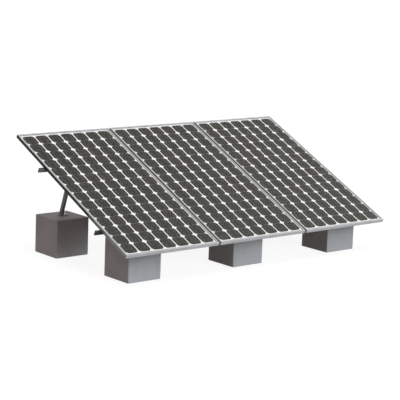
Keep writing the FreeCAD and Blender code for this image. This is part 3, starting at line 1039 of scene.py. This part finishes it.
def stand_fasteners(turns):
    """The bolts that hold the feet and cleats on the rails, and the legs on their cleats."""
    heads = bmesh.new()
    nuts = bmesh.new()
    for name in PANEL_NAMES:
        x = block_column(name)
        web = x - LEG_WEB_SHIFT
        foot = (x, FRONT_RAIL - FOOT_SHEET, -RAIL_MIDDLE)
        cleat = (web - CLEAT_BOLT_SHIFT, REAR_RAIL, -RAIL_MIDDLE)
        leg = (web - CLEAT_SHEET, LEG_HEAD, -RAIL_MIDDLE)
        bolted(heads, nuts, STAND_BOLT, foot, (0, 1, 0), FOOT_SHEET + RAIL_SHEET, turns)
        bolted(heads, nuts, STAND_BOLT, cleat, (0, 1, 0), RAIL_SHEET + CLEAT_SHEET, turns)
        bolted(heads, nuts, STAND_BOLT, leg, (1, 0, 0), CLEAT_SHEET + RAIL_SHEET, turns)
    finish_screws("stand_bolts", heads)
    finish_screws("stand_nuts", nuts)


def anchors(turns):
    """The six anchor screws, with chamfered heads."""
    builder = bmesh.new()
    for name in PANEL_NAMES:
        for row, plate in (("front", FOOT_SHEET), ("rear", FOOT_PLATE)):
            low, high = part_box(row + "_" + name + "_block")
            x = (low.x + high.x) / 2
            if row == "rear":
                x += LEG_DEPTH + LEG_ANCHOR_DISTANCE - LEG_WEB_SHIFT
            spot = Matrix.Translation((x, (low.y + high.y) / 2, high.z + plate))
            hex_head(builder, ANCHOR_FLATS, ANCHOR_HEAD, spun(spot, turns.uniform(0, 60)))
            shank(builder, ANCHOR_RADIUS, -ANCHOR_DEPTH, SHANK_IN_HEAD, spot)
    finish_screws("anchor_screw_set", builder, ["anchor_screws"])


# Rail plugs


def soft_rectangle(half_width, half_height, radius):
    """The outline of a rectangle with round corners, about its middle."""
    points = []
    for quarter, (side, level) in enumerate(((1, 1), (-1, 1), (-1, -1), (1, -1))):
        for step in range(CORNER_STEPS + 1):
            angle = math.radians(90.0 * quarter + 90.0 * step / CORNER_STEPS)
            u = side * (half_width - radius) + radius * math.cos(angle)
            v = level * (half_height - radius) + radius * math.sin(angle)
            points.append((u, v))
    return points


def rail_plug(node, distance, end):
    """A moulded plug with softened edges and a shallow dish in its face, in one end of a rail."""
    half_width = RAIL_DEPTH / 2 - RAIL_SHEET - PLUG_CLEARANCE
    half_height = RAIL_HEIGHT / 2 - RAIL_SHEET - PLUG_CLEARANCE
    face = end * (ROW_WIDTH / 2 + RAIL_OVERHANG)
    middle = distance + RAIL_DEPTH / 2
    depths_and_insets = [
        (PLUG_LENGTH, PLUG_ROUND),
        (PLUG_LENGTH - PLUG_ROUND, 0.0),
        (PLUG_ROUND, 0.0),
        (PLUG_ROUND_MIDDLE, PLUG_ROUND_MIDDLE),
        (0.0, PLUG_ROUND),
        (0.0, PLUG_DISH_RIM),
        (PLUG_DISH_DEPTH, PLUG_DISH_EDGE),
    ]
    rings = []
    for depth, inset in depths_and_insets:
        outline = soft_rectangle(half_width - inset, half_height - inset, PLUG_CORNER)
        rings.append([(face - end * depth, middle + u, -RAIL_MIDDLE + v) for u, v in outline])
    builder = bmesh.new()
    loft(builder, rings, SLOPE)
    finish_moulding(node, builder)


# Junction boxes


def box_ring(left, inset, level):
    """The box's outline with cut, softened corners, set in from its wall, at a level of the panel."""
    half_x = BOX_WIDTH / 2 - inset
    half_y = BOX_LENGTH / 2 - inset
    flat_x = half_x - BOX_CORNER_CUT
    flat_y = half_y - BOX_CORNER_CUT
    corners = [(half_x, -flat_y), (half_x, flat_y), (flat_x, half_y), (-flat_x, half_y)]
    corners += [(-x, -y) for x, y in corners]
    middle = left + PANEL_WIDTH / 2
    return [(middle + x, BOX_MIDDLE + y, level) for x, y in soft_corners(corners, BOX_CORNER_ROUND)]


def moulded_box(builder, left, insets_and_levels):
    """A lofted shape with the box's outline at each inset and level."""
    rings = [box_ring(left, inset, level) for inset, level in insets_and_levels]
    loft(builder, rings, SLOPE)


def cable_outlet(builder, x):
    """One closed cable outlet: a hexagon base, a groove, and a clamp nut with a bore in its end."""
    low_side = PANEL_LENGTH - BOX_EDGE_DISTANCE - BOX_LENGTH
    spot = aimed((x, low_side, -BACKSHEET_BOTTOM - BOX_DEPTH / 2), (0, -1, 0))
    nut_start = OUTLET_BASE + OUTLET_GROOVE
    rings = [hex_ring(OUTLET_FLATS, -OUTLET_IN_WALL)]
    rings += hex_top_rings(OUTLET_FLATS, OUTLET_BASE)
    rings.append(round_ring(OUTLET_FLATS * OUTLET_GROOVE_SHARE, OUTLET_BASE))
    rings.append(round_ring(OUTLET_FLATS * OUTLET_GROOVE_SHARE, nut_start))
    rings.append(round_ring(OUTLET_FLATS * OUTLET_COLLAR_SHARE, nut_start))
    rings.append(hex_ring(OUTLET_FLATS, nut_start + OUTLET_COLLAR))
    rings += hex_top_rings(OUTLET_FLATS, OUTLET_LENGTH)
    rings.append(round_ring(OUTLET_BORE / 2, OUTLET_LENGTH))
    rings.append(round_ring(OUTLET_BORE / 2, OUTLET_BASE))
    loft(builder, rings, spot)


def junction_box(panel, left):
    """The moulded box under a panel, open below, with its two cable outlets."""
    builder = bmesh.new()
    moulded_box(builder, left, [
        (0.0, -BACKSHEET_BOTTOM),
        (0.0, BOX_RIM + BOX_BEVEL),
        (SEAM_WIDTH, BOX_RIM + SEAM_DEPTH),
        (SEAM_WIDTH, BOX_RIM),
        (BOX_WALL, BOX_RIM),
        (BOX_WALL, -BACKSHEET_BOTTOM - BOX_WALL),
    ])
    for side in (-1, 1):
        cable_outlet(builder, left + PANEL_WIDTH / 2 + side * OUTLET_SPACING / 2)
    finish_moulding(panel + "_panel_junction_box", builder)


def junction_box_lid(panel, left):
    """The lid, with a soft edge and a ribbed field sunk in its face."""
    face = BOX_RIM - BOX_LID
    field = face + LID_RECESS
    builder = bmesh.new()
    moulded_box(builder, left, [
        (SEAM_WIDTH, BOX_RIM),
        (SEAM_WIDTH, BOX_RIM - SEAM_DEPTH),
        (0.0, BOX_RIM - LID_SEAM),
        (0.0, face + BOX_BEVEL),
        (LID_ROUND, face + LID_ROUND),
        (LID_FACE_INSET, face),
        (LID_BORDER, face),
        (LID_BORDER + LID_FIELD_SLOPE, field),
    ])
    reach = BOX_LENGTH / 2 - LID_BORDER - LID_RIB_MARGIN
    spacing = (BOX_WIDTH - 2 * LID_BORDER - 2 * BOX_CORNER_CUT) / (LID_RIBS - 1)
    for index in range(LID_RIBS):
        x = left + PANEL_WIDTH / 2 + (index - (LID_RIBS - 1) / 2) * spacing
        low = (x - LID_RIB_WIDTH / 2, BOX_MIDDLE - reach, face)
        high = (x + LID_RIB_WIDTH / 2, BOX_MIDDLE + reach, field + LID_RIB_ROOT)
        slab(builder, low, high)
    finish_moulding(panel + "_panel_junction_box_lid", builder)


# Welds


def weld_path(name):
    """Points round the outside of a leg's channel, where it meets its foot plate."""
    low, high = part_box("rear_" + name + "_block")
    base = Vector((block_column(name) - LEG_WEB_SHIFT, (low.y + high.y) / 2, high.z))
    head = SLOPE @ Vector((base.x, LEG_HEAD, -RAIL_MIDDLE))
    along = head - base
    lean = math.atan2(-along.y, along.z)
    half = LEG_WIDTH / 2
    outline = [(LEG_DEPTH, LEG_LIP - half)]
    for middle, first_angle in ((LEG_DEPTH - LEG_CORNER, 0), (LEG_CORNER, -90)):
        for step in range(WELD_CORNER_STEPS + 1):
            angle = math.radians(first_angle - 90 / WELD_CORNER_STEPS * step)
            u = middle + LEG_CORNER * math.cos(angle)
            outline.append((u, LEG_CORNER * (1 + math.sin(angle)) - half))
    outline += [(u, -v) for u, v in reversed(outline)]
    points = []
    for u, v in outline:
        y = v / math.cos(lean) - FOOT_PLATE * math.tan(lean)
        points.append(base + Vector((u, y, FOOT_PLATE)))
    return points


def evenly(points, gap):
    """The same line with points a fixed gap apart."""
    spots = [points[0]]
    left_over = 0.0
    for start, end in zip(points, points[1:]):
        run = (end - start).length
        at = gap - left_over
        while at < run:
            spots.append(start + (end - start) * (at / run))
            at += gap
        left_over = run - (at - gap)
    return spots


def bead_radius(spot, index, last):
    """The size of a rippled weld bead at one of its rings, small at both ends."""
    ripple = abs(math.sin(index * RIPPLE_TURN))
    lump = noise.noise(spot * BEAD_LUMPS_PER_METRE)
    size = BEAD_RADIUS + BEAD_RIPPLE * ripple + BEAD_UNEVENNESS * lump
    return size * BEAD_END_SHARE if index in (0, last) else size


def weld_beads():
    """A rippled bead round the base of each leg."""
    builder = bmesh.new()
    for name in PANEL_NAMES:
        spots = evenly(weld_path(name), WELD_STEP)
        last = len(spots) - 1
        rings = []
        for index, spot in enumerate(spots):
            ahead = (spots[min(last, index + 1)] - spots[max(0, index - 1)]).normalized()
            side = Vector((ahead.y, -ahead.x, 0.0))
            size = bead_radius(spot, index, last)
            ring = []
            for step in range(WELD_SIDES):
                angle = 2 * math.pi * step / WELD_SIDES
                rise = Vector((0, 0, size * math.sin(angle)))
                ring.append(spot + side * size * math.cos(angle) + rise)
            rings.append(ring)
        loft(builder, rings, Matrix.Identity(4))
    finish_piece("leg_weld_beads", builder, "weld_metal", smooth_angle=60)


def dress_solids():
    """Gives each solid of the frame its material."""
    for name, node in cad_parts.items():
        material = "galvanised_steel"
        for part_of_name, fitting in SOLID_MATERIALS.items():
            if part_of_name in name:
                material = fitting
        node.data.materials.clear()
        node.data.materials.append(MATERIALS[material])


# Stage: floor, light and camera


def seen_directly(tree):
    """1 for camera, glossy and transmission rays, 0 for the rest."""
    rays = add_node(tree, "LightPath", {}).outputs
    seen = arithmetic(tree, "MAXIMUM", rays["Is Camera Ray"], rays["Is Glossy Ray"])
    return arithmetic(tree, "MAXIMUM", seen, rays["Is Transmission Ray"])


def mixed(tree, factor, first, second):
    """Two shaders mixed by a factor."""
    return add_node(tree, "MixShader", {0: factor, 1: first, 2: second}).outputs["Shader"]


def floor():
    """A floor that looks white, lights the rack as a dark grey would, and keeps the shadow."""
    mesh = bpy.data.meshes.new("floor")
    corners = [(-1, -1), (1, -1), (1, 1), (-1, 1)]
    mesh.from_pydata([(x * FLOOR_REACH, y * FLOOR_REACH, 0.0) for x, y in corners], [], [(0, 1, 2, 3)])
    piece = add_object("floor", mesh)
    material, tree, shader = new_material("floor")
    tree.nodes.remove(shader)
    grey = add_node(tree, "BsdfDiffuse", {"Color": rgba("floor grey")}).outputs["BSDF"]
    white = add_node(tree, "BsdfDiffuse", {"Color": rgba("floor white")}).outputs["BSDF"]
    glow = add_node(tree, "Emission", {"Strength": FLOOR_GLOW}).outputs["Emission"]
    shown = mixed(tree, FLOOR_GLOW_SHARE, white, glow)
    surface = mixed(tree, seen_directly(tree), grey, shown)
    fill_inputs(tree, tree.nodes["Material Output"], {"Surface": surface})
    mesh.materials.append(material)


def world_light():
    """White where it is seen, and an even, slightly warm fill elsewhere."""
    world = bpy.data.worlds.new("studio")
    bpy.context.scene.world = world
    world.use_nodes = True
    tree = world.node_tree
    fill = tree.nodes["Background"]
    fill_inputs(tree, fill, {"Color": rgba("warm fill"), "Strength": FILL_STRENGTH})
    white = add_node(tree, "Background", {"Color": rgba("white"), "Strength": 1.0})
    surface = mixed(tree, seen_directly(tree), fill.outputs["Background"], white.outputs["Background"])
    fill_inputs(tree, tree.nodes["World Output"], {"Surface": surface})


def soft_lamp(name, to_lamp, strength, spread_degrees, colour):
    """A broad, even lamp far away in a direction; a strength of 1 shows a white surface as white."""
    data = bpy.data.lights.new(name, "SUN")
    data.energy = strength * math.pi
    data.angle = math.radians(spread_degrees)
    data.color = colour
    lamp = add_object(name, data)
    lamp.rotation_euler = Vector(to_lamp).to_track_quat("Z", "Y").to_euler()


def camera():
    """The camera of the picture."""
    data = bpy.data.cameras.new("camera")
    data.lens = CAMERA_LENS
    data.sensor_width = CAMERA_SENSOR
    data.clip_start = CAMERA_NEAR
    data.clip_end = CAMERA_FAR
    ahead = Vector((
        math.sin(CAMERA_YAW) * math.cos(CAMERA_PITCH),
        math.cos(CAMERA_YAW) * math.cos(CAMERA_PITCH),
        -math.sin(CAMERA_PITCH),
    ))
    right = Vector((math.cos(CAMERA_YAW), -math.sin(CAMERA_YAW), 0.0))
    up = right.cross(ahead)
    turned_right = right * math.cos(CAMERA_ROLL) + up * math.sin(CAMERA_ROLL)
    turned_up = up * math.cos(CAMERA_ROLL) - right * math.sin(CAMERA_ROLL)
    turn = Matrix((turned_right, turned_up, -ahead)).transposed()
    piece = add_object("camera", data)
    piece.matrix_world = Matrix.Translation(CAMERA_PLACE) @ turn.to_4x4()
    bpy.context.scene.camera = piece


# Build

camera()
world_light()
for lamp in LAMPS:
    soft_lamp(*lamp)
floor()
dress_solids()

shades = random.Random(TONE_SEED)
for index, name in enumerate(PANEL_NAMES):
    left = panel_left(index)
    for side in ("left", "right", "bottom", "top"):
        frame_bar(name, side, left)
    glass_pane(name, left)
    cells(name, left, shades)
    ribbons(name, left)
    junction_box(name, left)
    junction_box_lid(name, left)

for number, name in enumerate(PANEL_NAMES):
    concrete_block("front_" + name + "_block", FRONT_WEAR_SEED + WEAR_SEED_STEP * number)
    concrete_block("rear_" + name + "_block", REAR_WEAR_SEED + WEAR_SEED_STEP * number)

turns = random.Random(TURN_SEED)
panel_fasteners(turns)
stand_fasteners(turns)
anchors(turns)
for row, distance in (("front", FRONT_RAIL), ("rear", REAR_RAIL)):
    rail_plug(row + "_rail_left_plug", distance, -1)
    rail_plug(row + "_rail_right_plug", distance, 1)
weld_beads()

bpy.context.scene.view_settings.view_transform = "Standard"
